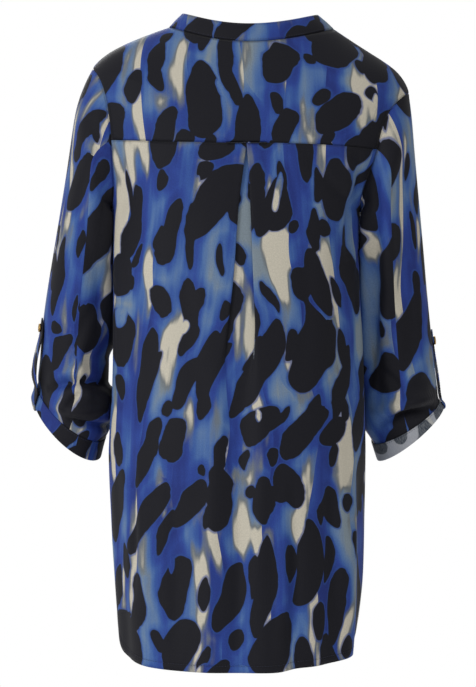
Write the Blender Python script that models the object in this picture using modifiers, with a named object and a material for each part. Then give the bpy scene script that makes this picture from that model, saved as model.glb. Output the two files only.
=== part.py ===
# A long tunic blouse, hollow and filled out as if worn: a back with an inverted pleat under a
# yoke, a front with a neck slit, a stand collar, and sleeves rolled up and held by buttoned tabs.
# The back faces +Y, the wearer's left is +X, and the origin is the middle of the neck at the
# height of the shoulders. Lengths are metres and angles are degrees.

import math
from functools import lru_cache

import bmesh
import bpy
import numpy as np
from mathutils import Matrix, Vector

# Thickness of each kind of piece
CLOTH = 0.0012
COLLAR_THICK = 0.0020
PLACKET_THICK = 0.0010
TAB_THICK = 0.0016

# Room left between pieces where they are sewn or lie on each other
SEAM_GAP = 0.0003
FLAT_TRIM = SEAM_GAP / 2
NECK_TRIM = 0.0005
ARMHOLE_TRIM = 0.0006
ARMPIT_TRIM = 0.0015

# Levels up the body; above the shoulder tip a level runs along the shoulder to the neck
HEM = -0.789
ARMPIT = -0.221
TIP = -0.050
NECK = 0.064

# Counts of rows and columns
LOWER_ROWS = 15
ARMHOLE_ROWS = 12
YOKE_ROW = 6
SLIT_ROW = 3
SHOULDER_ROWS = 5
SIDE_COLUMNS = 13
YOKE_COLUMNS = 24
FRONT_COLUMNS = 14
SLEEVE_COLUMNS = 24


def table(header, *rows):
    """A table with named columns, as one array for each name."""
    return dict(zip(header.split(), np.array(rows, dtype=float).T))


# Half-widths, half-depths and heights of the body at each level, and how square its section is
BODY = table(
    "level  left   right  back   front  z_left z_right z_back z_front power",
    (-0.789, 0.1620, 0.1365, 0.126, 0.124, -0.789, -0.789, -0.789, -0.789, 2.30),
    (-0.720, 0.1655, 0.1430, 0.125, 0.124, -0.720, -0.720, -0.720, -0.720, 2.30),
    (-0.600, 0.1705, 0.1450, 0.122, 0.124, -0.600, -0.600, -0.600, -0.600, 2.32),
    (-0.520, 0.1735, 0.1465, 0.119, 0.124, -0.520, -0.520, -0.520, -0.520, 2.35),
    (-0.460, 0.1695, 0.1450, 0.116, 0.124, -0.460, -0.460, -0.460, -0.460, 2.35),
    (-0.400, 0.1660, 0.1410, 0.113, 0.124, -0.400, -0.400, -0.400, -0.400, 2.35),
    (-0.310, 0.1645, 0.1355, 0.110, 0.123, -0.310, -0.310, -0.310, -0.310, 2.40),
    (-0.260, 0.1655, 0.1350, 0.109, 0.1205, -0.260, -0.260, -0.260, -0.260, 2.44),
    (-0.221, 0.1690, 0.1390, 0.109, 0.1178, -0.221, -0.221, -0.223, -0.223, 2.46),
    (-0.180, 0.1800, 0.1575, 0.108, 0.1135, -0.180, -0.186, -0.185, -0.188, 2.45),
    (-0.136, 0.1905, 0.1765, 0.104, 0.107, -0.136, -0.150, -0.143, -0.153, 2.38),
    (-0.090, 0.1970, 0.1910, 0.098, 0.101, -0.088, -0.109, -0.109, -0.129, 2.26),
    (-0.050, 0.1955, 0.2025, 0.091, 0.096, -0.044, -0.075, -0.083, -0.113, 2.16),
    (-0.021, 0.1740, 0.1880, 0.085, 0.093, -0.0255, -0.0495, -0.064, -0.099, 2.12),
    (0.010, 0.1500, 0.1650, 0.078, 0.090, -0.0130, -0.0335, -0.0475, -0.088, 2.10),
    (0.038, 0.1240, 0.1380, 0.071, 0.087, -0.0026, -0.0165, -0.0315, -0.079, 2.10),
    (0.064, 0.0985, 0.1075, 0.064, 0.084, 0.0065, 0.0040, -0.0155, -0.070, 2.10),
)

# Soft folds of the body: each runs from an angle at its top to one at its foot
BODY_FOLDS = table(
    "top     foot    top_angle foot_angle width depth",
    (-0.190, -0.470, 9, 10, 8, 0.0042),
    (-0.190, -0.470, 171, 170, 8, 0.0042),
    (-0.140, -0.330, 24, 20, 7, -0.0050),
    (-0.145, -0.300, 157, 160, 6, -0.0110),
    (-0.230, -0.520, 149, 146, 7, -0.0040),
    (-0.470, HEM, 16, 20, 5, -0.0050),
    (-0.560, HEM, 33, 36, 6, 0.0040),
    (-0.540, HEM, 54, 56, 8, -0.0040),
    (-0.600, HEM, 115, 118, 5, -0.0075),
    (-0.520, HEM, 134, 137, 6, -0.0070),
    (-0.560, HEM, 148, 152, 6, 0.0060),
    (-0.480, HEM, 163, 165, 5, -0.0050),
    (-0.250, HEM, 202, 206, 8, -0.0060),
    (-0.420, HEM, 226, 224, 9, 0.0050),
    (-0.230, HEM, 249, 244, 8, -0.0060),
    (-0.520, HEM, 268, 266, 9, 0.0040),
    (-0.230, HEM, 291, 297, 8, -0.0065),
    (-0.380, HEM, 314, 319, 9, 0.0050),
    (-0.260, HEM, 337, 340, 7, -0.0055),
)
FOLD_FADE = 0.35

# The inverted pleat under the yoke: its middle to the wearer's left, half its opening, how far
# each side laps over the underlay, and how far the cloth has opened into a soft valley
PLEAT = table(
    "level   middle half    lap    open",
    (HEM, 0.0140, 0.0260, 0.000, 1.00),
    (-0.480, 0.0140, 0.0220, 0.000, 1.00),
    (-0.420, 0.0120, 0.0206, 0.003, 0.60),
    (-0.360, 0.0080, 0.0170, 0.008, 0.15),
    (-0.310, 0.0060, 0.0134, 0.012, 0.00),
    (-0.210, 0.0044, 0.0080, 0.017, 0.00),
    (-0.175, 0.0030, 0.0050, 0.019, 0.00),
    (-0.136, 0.0020, 0.0012, 0.020, 0.00),
)
PLEAT_PITCH = 0.0022
PLEAT_TURN = (0, 60, 120, 180)
PLEAT_LEAD = 0.012
VALLEY_DEPTH = 0.006

# How far the armhole reaches round from the side seam, at its widest
ARMHOLE_BACK = 19
ARMHOLE_FRONT = 21
ARMHOLE_FULLNESS = 0.72

# Shirt-tail hem: it rises to the side seams
SIDE_RISE = 0.036
SIDE_REACH = 0.050
TAIL_RISE = 0.034
TAIL_FADE = 0.160

# The back's hem hangs a little higher to the right of a flute
JOG_X = -0.046
JOG_WIDTH = 0.008
JOG_LIFT = 0.0040

FRONT_SHORTER = 0.018

# Neck slit and the strips along it
SLIT_HALF_GAP = 0.022
PLACKET_WIDTH = 0.016
PLACKET_TAIL = 0.024
PLACKET_ROWS = 16

# Stand collar: its top edge, in the columns of the body's table, and its outward bow
COLLAR_TOP = {
    "left": 0.0820, "right": 0.0875, "back": 0.0570, "front": 0.0780,
    "z_left": 0.0235, "z_right": 0.0215, "z_back": 0.0068, "z_front": -0.0460,
    "power": 2.1,
}
COLLAR_END_TOP = 0.030
COLLAR_ROWS = 3
COLLAR_COLUMNS = 44
COLLAR_BOW = 0.0010

# Sleeve sections from the cap to the hem: the outer and inner ends across the arm, the middle
# and half the depth from front to back, how far the back hangs below the front, and the rows
# from the section before
SLEEVE_HEADER = "outer_x outer_z inner_x inner_z middle depth dip steps"
SLEEVES = {
    "left": table(
        SLEEVE_HEADER,
        (0.2125, -0.086, 0.1735, -0.230, -0.002, 0.064, 0.000, 2),
        (0.2260, -0.168, 0.1685, -0.264, -0.016, 0.062, 0.000, 3),
        (0.2430, -0.262, 0.1660, -0.315, -0.032, 0.059, 0.002, 3),
        (0.2575, -0.349, 0.1660, -0.376, -0.042, 0.058, 0.005, 2),
        (0.2630, -0.412, 0.1675, -0.435, -0.048, 0.060, 0.008, 2),
        (0.2660, -0.428, 0.1695, -0.470, -0.050, 0.063, 0.014, 1),
        (0.2655, -0.434, 0.1725, -0.492, -0.052, 0.058, 0.019, 1),
        (0.2650, -0.441, 0.1810, -0.503, -0.054, 0.049, 0.023, 1),
        (0.2705, -0.455, 0.1870, -0.526, -0.056, 0.046, 0.027, 2),
    ),
    "right": table(
        SLEEVE_HEADER,
        (0.2045, -0.104, 0.1455, -0.230, -0.002, 0.064, 0.000, 2),
        (0.2100, -0.165, 0.1400, -0.264, -0.014, 0.062, 0.000, 3),
        (0.2205, -0.265, 0.1395, -0.315, -0.032, 0.059, 0.002, 3),
        (0.2285, -0.350, 0.1415, -0.375, -0.042, 0.058, 0.005, 2),
        (0.2365, -0.425, 0.1440, -0.435, -0.048, 0.060, 0.008, 2),
        (0.2390, -0.445, 0.1480, -0.472, -0.050, 0.063, 0.010, 1),
        (0.2395, -0.452, 0.1520, -0.488, -0.052, 0.058, 0.011, 1),
        (0.2410, -0.4605, 0.1570, -0.512, -0.054, 0.049, 0.012, 1),
        (0.2470, -0.467, 0.1640, -0.5335, -0.056, 0.046, 0.013, 2),
    ),
}
CUFF_SECTIONS = 2
SIGN = {"left": 1.0, "right": -1.0}

# Folds of the sleeves, by section and by angle round the arm; 0 is outer and 90 is back
SLEEVE_FOLDS = {
    "left": table(
        "top  foot top_angle foot_angle width depth",
        (1.0, 5.0, 128, 120, 16, -0.0050),
        (2.5, 6.5, 70, 78, 16, -0.0040),
        (3.5, 7.0, 35, 30, 14, -0.0040),
        (1.5, 6.0, 225, 232, 18, -0.0060),
        (3.0, 7.0, 285, 280, 16, -0.0050),
        (3.5, 7.0, 335, 330, 14, -0.0040),
    ),
    "right": table(
        "top  foot top_angle foot_angle width depth",
        (0.3, 4.2, 62, 76, 15, -0.0080),
        (1.2, 5.5, 118, 126, 16, -0.0060),
        (3.8, 7.0, 95, 92, 14, -0.0040),
        (3.5, 7.0, 30, 34, 14, -0.0040),
        (1.5, 6.0, 228, 236, 18, -0.0060),
        (3.0, 7.0, 290, 284, 16, -0.0050),
    ),
}

# Roll tabs: the angle they lie at, the section of the button, and their route as sections
# measured from the hem with the distance that they stand off the sleeve's middle surface
TAB_ANGLE = {"left": 14, "right": -6}
TAB_BUTTON = {"left": 3.24, "right": 3.42}
TAB_WIDTH = 0.022
TAB_REST = CLOTH / 2 + SEAM_GAP + TAB_THICK / 2
TAB_OVER_CUFF = TAB_REST + CLOTH + SEAM_GAP + 0.0004
TAB_STAND = {"left": 0.0080, "right": 0.0036}
TAB_INSIDE = -0.0024

# Button: its turned profile as radius and height, from the middle of its face to its back
BUTTON_PROFILE = (
    (0.0000, 0.0015), (0.0034, 0.0015), (0.0040, 0.0023), (0.0048, 0.0025),
    (0.0055, 0.0018), (0.0055, 0.0007), (0.0049, 0.0000), (0.0000, 0.0000),
)
BUTTON_STEPS = 20
BUTTON_SEAT = TAB_THICK / 2 + SEAM_GAP + 0.0001

# Finishes: colour, roughness and metallic value
FINISHES = {
    "printed viscose": ((0.040, 0.075, 0.270), 0.75, 0.0),
    "pale wrong side": ((0.430, 0.450, 0.480), 0.80, 0.0),
    "gilt metal": ((0.600, 0.400, 0.140), 0.30, 1.0),
}


def clear_scene():
    for item in list(bpy.data.objects):
        bpy.data.objects.remove(item)


def slopes_of(places, values):
    """Slopes that keep a curve through the values from swinging past any of them."""
    steps = np.diff(values) / np.diff(places)
    inner = [2 * a * b / (a + b) if a * b > 0 else 0.0 for a, b in zip(steps, steps[1:])]
    return np.array([steps[0], *inner, steps[-1]])


def smooth_read(places, values, at):
    """The values' smooth curve, read at one place."""
    at = min(max(at, places[0]), places[-1])
    low = min(int(np.searchsorted(places, at, side="right")) - 1, len(places) - 2)
    slopes = slopes_of(places, values)
    span = places[low + 1] - places[low]
    t = (at - places[low]) / span
    return (
        values[low] * (1 + 2 * t) * (1 - t) ** 2
        + values[low + 1] * t * t * (3 - 2 * t)
        + span * slopes[low] * t * (1 - t) ** 2
        - span * slopes[low + 1] * t * t * (1 - t)
    )


@lru_cache(maxsize=None)
def body_row(level):
    """One row of the body's table, at any level."""
    return {name: smooth_read(BODY["level"], BODY[name], level) for name in BODY}


@lru_cache(maxsize=None)
def pleat_row(level):
    return {name: smooth_read(PLEAT["level"], PLEAT[name], level) for name in PLEAT}


def ease(share):
    """A soft step from 0 to 1."""
    share = min(max(share, 0.0), 1.0)
    return share * share * (3 - 2 * share)


def fold_sum(folds, angle, place, runs_on_at=None):
    """How far soft folds move the cloth out at an angle and a place between their ends."""
    total = 0.0
    for top, foot, top_angle, foot_angle, width, depth in zip(*folds.values()):
        share = (place - top) / (foot - top)
        if not 0.0 < share:
            continue
        strength = ease(share / FOLD_FADE)
        if foot != runs_on_at:
            strength *= ease((1 - share) / FOLD_FADE)
        middle = top_angle + (foot_angle - top_angle) * min(share, 1.0)
        away = (angle - middle + 180) % 360 - 180
        total += depth * strength * math.exp(-((away / width) ** 2))
    return total


def ring_point(row, angle, out=0.0):
    """A point of a body section, moved out level by a distance."""
    across, along = math.cos(math.radians(angle)), math.sin(math.radians(angle))
    wide = row["left"] if across >= 0 else row["right"]
    deep = row["back"] if along >= 0 else row["front"]
    power = row["power"]
    radius = ((abs(across) / wide) ** power + (abs(along) / deep) ** power) ** (-1 / power)
    side = row["z_left"] if across >= 0 else row["z_right"]
    middle = row["z_back"] if along >= 0 else row["z_front"]
    spread = (radius * across / wide) ** 2
    place = np.array([radius * across, radius * along, middle + (side - middle) * spread])
    facing = np.array([
        math.copysign((abs(place[0]) / wide) ** (power - 1) / wide, across),
        math.copysign((abs(place[1]) / deep) ** (power - 1) / deep, along),
        0.0,
    ])
    return place + facing * (out / np.linalg.norm(facing))


def body_point(angle, level, out=0.0):
    """A point of the filled-out body; 0 is the left side seam and 90 the middle of the back."""
    return ring_point(body_row(level), angle, out + fold_sum(BODY_FOLDS, angle % 360, level, HEM))


def angle_at(row, x, middle):
    """The angle near the middle of the back (90) or front (270) where a section reaches x."""
    toward_left = 0 if middle < 180 else 360
    near, far = middle, toward_left if x >= 0 else 180
    for _ in range(40):
        half = (near + far) / 2
        if abs(ring_point(row, half)[0]) < abs(x):
            near = half
        else:
            far = half
    return near


def lower_levels():
    return [HEM + (ARMPIT - HEM) * k / LOWER_ROWS for k in range(LOWER_ROWS)]


def armhole_level(row):
    """Armhole rows are close at the armpit and at the shoulder tip, where the curve turns."""
    return ARMPIT + (TIP - ARMPIT) * (1 - math.cos(math.pi * row / ARMHOLE_ROWS)) / 2


def armhole_reach(row, widest):
    return widest * math.sin(math.pi * min(max(row, 0), ARMHOLE_ROWS) / ARMHOLE_ROWS) ** ARMHOLE_FULLNESS


def shoulder_levels():
    return [TIP + (NECK - TIP) * k / SHOULDER_ROWS for k in range(1, SHOULDER_ROWS + 1)]


def pull(edge, inner, distance):
    """An edge's points drawn towards their inner neighbours, which opens a seam."""
    way = inner - edge
    return edge + way * (distance / np.linalg.norm(way, axis=-1, keepdims=True))


def armhole_trim(row):
    """The trim grows at the armpit, where the sleeve turns most sharply from the body."""
    return ARMHOLE_TRIM + (ARMPIT_TRIM - ARMHOLE_TRIM) * max(0.0, 1 - row / 5)


def tail_share(level):
    """The hem's own curve dies out up the body."""
    return max(0.0, 1 - (level - HEM) / TAIL_FADE)


def tail_lift(row_points, level):
    """How far the hem's curve lifts each point of a row."""
    steps = np.linalg.norm(np.diff(row_points, axis=0), axis=1)
    run = np.concatenate([[0.0], np.cumsum(steps)])
    from_side = np.minimum(run, run[-1] - run)
    corner = SIDE_RISE * np.maximum(0.0, 1 - from_side / SIDE_REACH) ** 2
    tail = TAIL_RISE * np.abs(1 - 2 * from_side / run[-1]) ** 3
    return (corner + tail) * tail_share(level)


def pleat_profile(level):
    """The pleat's points from its left lead-in to its middle, as distance left and depth."""
    row = pleat_row(level)
    turn = PLEAT_PITCH / 2
    edge, inner = row["half"], row["half"] + row["lap"]
    folded = [(inner + PLEAT_LEAD, 0.0), (edge + row["lap"] * 0.5 + 0.003, 0.0)]
    for degrees in PLEAT_TURN:
        swing = math.radians(degrees)
        folded.append((edge - turn * math.sin(swing), -turn * (1 - math.cos(swing))))
    for degrees in PLEAT_TURN:
        swing = math.radians(degrees)
        folded.append(
            (inner + turn * math.sin(swing), -PLEAT_PITCH - turn * (1 - math.cos(swing)))
        )
    folded.append((0.0, -2 * PLEAT_PITCH))
    count = len(folded) - 1
    reach = row["half"] + PLEAT_LEAD
    profile = []
    for k, (left, depth) in enumerate(folded):
        open_left = reach * (1 - k / count)
        open_depth = -VALLEY_DEPTH * (0.5 + 0.5 * math.cos(math.pi * open_left / reach))
        share = row["open"]
        profile.append((left + (open_left - left) * share, depth + (open_depth - depth) * share))
    return profile


def side_share(k):
    """Columns stand closer at the side seam, where the section turns."""
    return (k / SIDE_COLUMNS) ** 1.25


def back_row(level, left_end, right_end):
    """One row of the back panel, from its left edge to its right edge."""
    profile = pleat_profile(level)
    middle = pleat_row(level)["middle"]
    row = body_row(level)
    pleat = [(middle + left, depth) for left, depth in profile]
    pleat += [(middle - left, depth) for left, depth in reversed(profile[:-1])]
    pleat = [(angle_at(row, x, 90), depth) for x, depth in pleat]
    first, last = pleat[0][0], pleat[-1][0]
    angles = [(left_end + (first - left_end) * side_share(k), 0.0) for k in range(SIDE_COLUMNS)]
    angles += pleat
    angles += [
        (right_end + (last - right_end) * side_share(k), 0.0)
        for k in reversed(range(SIDE_COLUMNS))
    ]
    return np.array([body_point(angle, level, depth) for angle, depth in angles])


def back_points():
    rows = []
    for level in lower_levels():
        points = back_row(level, 0.0, 180.0)
        jog = np.array([JOG_LIFT * ease((JOG_X - x) / JOG_WIDTH) for x in points[:, 0]])
        points[:, 2] += tail_lift(points, level) + jog * tail_share(level)
        rows.append(points)
    for row in range(YOKE_ROW + 1):
        reach = armhole_reach(row, ARMHOLE_BACK)
        rows.append(back_row(armhole_level(row), reach, 180.0 - reach))
    grid = np.array(rows)
    trim_sides(grid, LOWER_ROWS)
    grid[-1] = pull(grid[-1], grid[-2], FLAT_TRIM)
    return grid


def trim_sides(grid, armpit_row):
    """Draws a panel's side edges in: a little along the side seam, more round the armhole."""
    for index, row in enumerate(grid):
        above = index - armpit_row
        distance = FLAT_TRIM if above < 0 else armhole_trim(above)
        if above > ARMHOLE_ROWS:
            distance = FLAT_TRIM
        row[0] = pull(row[0], row[1], distance)
        row[-1] = pull(row[-1], row[-2], distance)
    if 0 <= armpit_row < len(grid):
        grid[armpit_row, [0, -1], 2] -= ARMPIT_TRIM


def yoke_points():
    rows = []
    for row in range(YOKE_ROW, ARMHOLE_ROWS + 1):
        reach = armhole_reach(row, ARMHOLE_BACK)
        rows.append((armhole_level(row), reach))
    rows += [(level, 0.0) for level in shoulder_levels()]
    grid = np.array([
        [
            body_point(reach + (180 - 2 * reach) * k / YOKE_COLUMNS, level)
            for k in range(YOKE_COLUMNS + 1)
        ]
        for level, reach in rows
    ])
    trim_sides(grid, -YOKE_ROW)
    grid[0] = pull(grid[0], grid[1], FLAT_TRIM)
    grid[-1] = pull(grid[-1], grid[-2], NECK_TRIM)
    return grid


def slit_half_gap(level):
    """Half the neck slit's opening, from nothing at its foot to its full width at the neck."""
    foot = armhole_level(SLIT_ROW)
    return SLIT_HALF_GAP * max(0.0, (level - foot) / (NECK - foot)) ** 1.15


def front_half(side):
    """The half of the front on one side, as rows from the hem up, right to left."""
    seam = 180.0 if side == "right" else 360.0
    inward = 1.0 if side == "right" else -1.0
    levels = [(level, 0.0) for level in lower_levels()]
    levels += [
        (armhole_level(row), armhole_reach(row, ARMHOLE_FRONT)) for row in range(ARMHOLE_ROWS + 1)
    ]
    levels += [(level, 0.0) for level in shoulder_levels()]
    grid = []
    for level, reach in levels:
        start = seam + inward * reach
        end = angle_at(body_row(level), SIGN[side] * slit_half_gap(level), 270)
        angles = [
            start + (end - start) * (k / FRONT_COLUMNS) ** 1.1 for k in range(FRONT_COLUMNS + 1)
        ]
        points = np.array([body_point(angle, level) for angle in angles])
        if level < ARMPIT:
            mirrored = points[-2::-1] * np.array([-1.0, 1.0, 1.0])
            lift = tail_lift(np.concatenate([points, mirrored]), level)[: len(points)]
            points[:, 2] += lift + FRONT_SHORTER * tail_share(level)
        grid.append(points)
    grid = np.array(grid)
    middle = grid[:, -1].copy()
    trim_sides(grid, LOWER_ROWS)
    grid[:, -1] = middle
    grid[-1] = pull(grid[-1], grid[-2], NECK_TRIM)
    return grid if side == "right" else grid[:, ::-1]


def grid_facings(grid):
    """The outward direction at each point of a grid of rows going up and columns going round."""
    up = np.gradient(grid, axis=0)
    round_way = np.gradient(grid, axis=1)
    facing = np.cross(round_way, up)
    return facing / np.linalg.norm(facing, axis=-1, keepdims=True)


def placket_points(side):
    """A strip along one edge of the neck slit, laid on the front's own surface."""
    top = NECK - NECK_TRIM
    foot = armhole_level(SLIT_ROW) - PLACKET_TAIL
    rows = []
    for k in range(PLACKET_ROWS + 1):
        level = foot + (top - foot) * k / PLACKET_ROWS
        row = body_row(level)
        edge = slit_half_gap(level) + FLAT_TRIM
        across = [edge + PLACKET_WIDTH * share for share in (0.0, 0.5, 1.0)]
        rows.append([body_point(angle_at(row, SIGN[side] * x, 270), level) for x in across])
    grid = np.array(rows)
    if side == "right":
        grid = grid[:, ::-1]
    lift = CLOTH / 2 + SEAM_GAP + PLACKET_THICK / 2
    grid = grid + grid_facings(grid) * lift
    grid[-1] = pull(grid[-1], grid[-2], 2 * NECK_TRIM)
    return grid


def collar_points():
    """The stand collar, from its right front end round the back to its left front end."""
    base_row, top_row = body_row(NECK), COLLAR_TOP
    base_end = angle_at(base_row, SLIT_HALF_GAP, 270) - 360
    top_end = angle_at(top_row, COLLAR_END_TOP, 270) - 360
    base_far = angle_at(base_row, -SLIT_HALF_GAP, 270)
    top_far = angle_at(top_row, -COLLAR_END_TOP, 270)
    grid = []
    for step in range(COLLAR_ROWS + 1):
        up = step / COLLAR_ROWS
        bow = COLLAR_BOW * math.sin(math.pi * up)
        points = []
        for k in range(COLLAR_COLUMNS + 1):
            share = k / COLLAR_COLUMNS
            low = ring_point(base_row, base_end + (base_far - base_end) * share)
            high = ring_point(top_row, top_end + (top_far - top_end) * share)
            facing = ring_point(base_row, base_end + (base_far - base_end) * share, 1.0) - low
            points.append(low + (high - low) * up + facing * bow)
        grid.append(points)
    grid = np.array(grid)
    grid[0] = pull(grid[0], grid[1], NECK_TRIM)
    return grid


def armhole_ring(side, angle):
    """The armhole's edge at an angle round the arm; 0 is the shoulder tip and 90 the back."""
    turn = (angle + 180) % 360 - 180
    row = ARMHOLE_ROWS * (1 - abs(turn) / 180)
    reach = armhole_reach(row, ARMHOLE_BACK if turn >= 0 else -ARMHOLE_FRONT)
    round_body = reach if side == "left" else 180 - reach
    return body_point(round_body, armhole_level(row))


def section_ring(side, index, angle):
    """One section of a sleeve at an angle round the arm."""
    row = {name: values[index] for name, values in SLEEVES[side].items()}
    turn = math.radians(angle)
    outer = (1 + math.cos(turn)) / 2
    x = row["inner_x"] + (row["outer_x"] - row["inner_x"]) * outer
    z = row["inner_z"] + (row["outer_z"] - row["inner_z"]) * outer
    y = row["middle"] + row["depth"] * math.sin(turn)
    return np.array([SIGN[side] * x, y, z - row["dip"] * math.sin(turn)])


@lru_cache(maxsize=None)
def sleeve_rings(side, angle):
    """A sleeve's points at one angle: the armhole, then each section down to the hem."""
    count = len(SLEEVES[side]["steps"])
    return np.array([armhole_ring(side, angle)] + [section_ring(side, k, angle) for k in range(count)])


def sleeve_base(side, angle, place):
    """A sleeve's surface without folds; place 0 is the armhole and each section adds 1."""
    rings = sleeve_rings(side, round(angle % 360, 6))
    last = len(rings) - 1
    if place > last:
        return rings[last] + (rings[last] - rings[last - 1]) * (place - last)
    low = min(int(place), last - 1)
    t = place - low
    before, start, end = rings[max(low - 1, 0)], rings[low], rings[low + 1]
    after = rings[min(low + 2, last)]
    leave, arrive = (end - before) / 2, (after - start) / 2
    return (
        start * (1 + 2 * t) * (1 - t) ** 2
        + end * t * t * (3 - 2 * t)
        + leave * t * (1 - t) ** 2
        - arrive * t * t * (1 - t)
    )


def sleeve_facing(side, angle, place):
    """The outward direction of a sleeve's surface."""
    small = 0.01
    along = sleeve_base(side, angle, place + small) - sleeve_base(side, angle, max(place - small, 0))
    around = sleeve_base(side, angle + 1, place) - sleeve_base(side, angle - 1, place)
    facing = np.cross(along, around) * SIGN[side]
    return facing / np.linalg.norm(facing)


def sleeve_point(side, angle, place, out=0.0):
    """A point of a sleeve with its folds, moved out by a distance."""
    move = out + fold_sum(SLEEVE_FOLDS[side], angle % 360, place - 1)
    return sleeve_base(side, angle, place) + sleeve_facing(side, angle, place) * move


def sleeve_places(side):
    """Where the sleeve's rows lie, from the hem up to the armhole."""
    places = [0.0]
    for section, steps in enumerate(SLEEVES[side]["steps"]):
        places += [section + (k + 1) / steps for k in range(int(steps))]
    return places[::-1]


def around(side):
    """Angles round the arm in the order that keeps the cloth's outside outward."""
    angles = [360 * k / SLEEVE_COLUMNS for k in range(SLEEVE_COLUMNS + 1)]
    return angles if side == "left" else angles[::-1]


def sleeve_points(side):
    grid = np.array([
        [sleeve_point(side, angle, place) for angle in around(side)]
        for place in sleeve_places(side)
    ])
    trims = np.array([
        armhole_trim(ARMHOLE_ROWS * (1 - abs((a + 180) % 360 - 180) / 180)) for a in around(side)
    ])
    grid[-1] = pull(grid[-1], grid[-2], trims[:, None])
    return grid


def cuff_points(side):
    """The turned-up hem, laid on the sleeve's outside."""
    last = len(SLEEVES[side]["steps"])
    out = CLOTH + SEAM_GAP
    places = [last - k / CUFF_SECTIONS for k in range(CUFF_SECTIONS + 1)]
    return np.array([
        [sleeve_point(side, angle, place, out) for angle in around(side)] for place in places
    ])


def tab_route(side):
    """The tab's run from its point outside, round the hem, to its end inside the sleeve."""
    hem = len(SLEEVES[side]["steps"])
    button = TAB_BUTTON[side] + 1
    cuff = hem - 1
    stand = TAB_STAND[side]
    return [
        (button - 0.17, TAB_REST), (button, TAB_REST), (button + 0.12, TAB_REST),
        (button + 0.35, (TAB_REST + stand) / 2), (button + 0.65, stand), (button + 0.95, stand),
        (button + 1.45, stand), (button + 2.2, (stand + TAB_OVER_CUFF) / 2),
        (cuff - 0.4, TAB_OVER_CUFF + 0.0010),
        (cuff, TAB_OVER_CUFF + 0.0006), (cuff + 0.5, TAB_OVER_CUFF), (hem, TAB_OVER_CUFF),
        (hem + 0.16, TAB_OVER_CUFF * 0.6), (hem + 0.20, 0.0), (hem + 0.10, TAB_INSIDE * 0.8),
        (hem - 0.1, TAB_INSIDE), (cuff, TAB_INSIDE), (cuff - 1.0, TAB_INSIDE),
        (cuff - 2.0, TAB_INSIDE), (cuff - 2.5, TAB_INSIDE), (cuff - 3.0, TAB_INSIDE),
        (button + 0.4, TAB_INSIDE), (button, TAB_INSIDE),
    ]


def tab_points(side):
    """The tab as a strap, three points across and narrowing to its tip."""
    middle = TAB_ANGLE[side]
    rows = []
    for index, (place, out) in enumerate(tab_route(side)):
        round_step = sleeve_base(side, middle + 1, place) - sleeve_base(side, middle - 1, place)
        half = TAB_WIDTH / 2 * (0.25 if index == 0 else 1.0)
        swing = 2 * half / np.linalg.norm(round_step)
        rows.append([
            sleeve_point(side, middle + swing * share, place, out) for share in (-1, -0.5, 0, 0.5, 1)
        ])
    return np.array(rows)


def make_sheet(name, grids, thickness, finish, collection, closed=False):
    """An open sheet through one or more grids of points, given its thickness."""
    mesh = bpy.data.meshes.new(name)
    shape = bmesh.new()
    for grid in grids:
        rows, columns = grid.shape[:2]
        made = bmesh.ops.create_grid(shape, x_segments=columns - 1, y_segments=rows - 1, size=0.5)
        for vert, place in zip(made["verts"], grid.reshape(-1, 3)):
            vert.co = place
    if closed or len(grids) > 1:
        bmesh.ops.remove_doubles(shape, verts=shape.verts, dist=0.00002)
    bmesh.ops.triangulate(shape, faces=shape.faces)
    shape.to_mesh(mesh)
    shape.free()
    mesh.shade_smooth()
    item = bpy.data.objects.new(name, mesh)
    collection.objects.link(item)
    wall = item.modifiers.new("Wall", "SOLIDIFY")
    wall.thickness = thickness
    wall.offset = 0.0
    item.data.materials.append(material_for(name, finish))
    return item


def material_for(name, finish):
    colour, roughness, metallic = FINISHES[finish]
    material = bpy.data.materials.new(name + " " + finish)
    material.use_nodes = True
    shader = material.node_tree.nodes["Principled BSDF"]
    shader.inputs["Base Color"].default_value = (*colour, 1.0)
    shader.inputs["Roughness"].default_value = roughness
    shader.inputs["Metallic"].default_value = metallic
    return material


def make_button(side, collection):
    """A turned button, seated flat on the tab."""
    mesh = bpy.data.meshes.new("button_" + side)
    points = [(radius, 0.0, height) for radius, height in BUTTON_PROFILE]
    edges = [(k, k + 1) for k in range(len(points) - 1)]
    mesh.from_pydata(points, edges, [])
    item = bpy.data.objects.new(mesh.name, mesh)
    collection.objects.link(item)
    turn = item.modifiers.new("Turned", "SCREW")
    turn.steps = turn.render_steps = BUTTON_STEPS
    turn.use_merge_vertices = True
    turn.merge_threshold = 0.0001
    place = TAB_BUTTON[side] + 1
    angle = TAB_ANGLE[side]
    facing = Vector(sleeve_facing(side, angle, place))
    seat = sleeve_point(side, angle, place, TAB_REST + BUTTON_SEAT)
    item.matrix_world = Matrix.Translation(seat) @ facing.to_track_quat("Z", "Y").to_matrix().to_4x4()
    item.data.materials.append(material_for(item.name, "gilt metal"))
    return item


def build_blouse():
    clear_scene()
    collection = bpy.data.collections.new("blouse")
    bpy.context.scene.collection.children.link(collection)
    cloth = "printed viscose"
    make_sheet("back", [back_points()], CLOTH, cloth, collection)
    make_sheet("back_yoke", [yoke_points()], CLOTH, cloth, collection)
    make_sheet("front", [front_half("right"), front_half("left")], CLOTH, cloth, collection)
    make_sheet("collar", [collar_points()], COLLAR_THICK, cloth, collection)
    for side in ("left", "right"):
        make_sheet("placket_" + side, [placket_points(side)], PLACKET_THICK, cloth, collection)
        make_sheet("sleeve_" + side, [sleeve_points(side)], CLOTH, cloth, collection, True)
        finish = cloth if side == "left" else "pale wrong side"
        make_sheet("cuff_" + side, [cuff_points(side)], CLOTH, finish, collection, True)
        make_sheet("tab_" + side, [tab_points(side)], TAB_THICK, cloth, collection)
        make_button(side, collection)


build_blouse()
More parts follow.
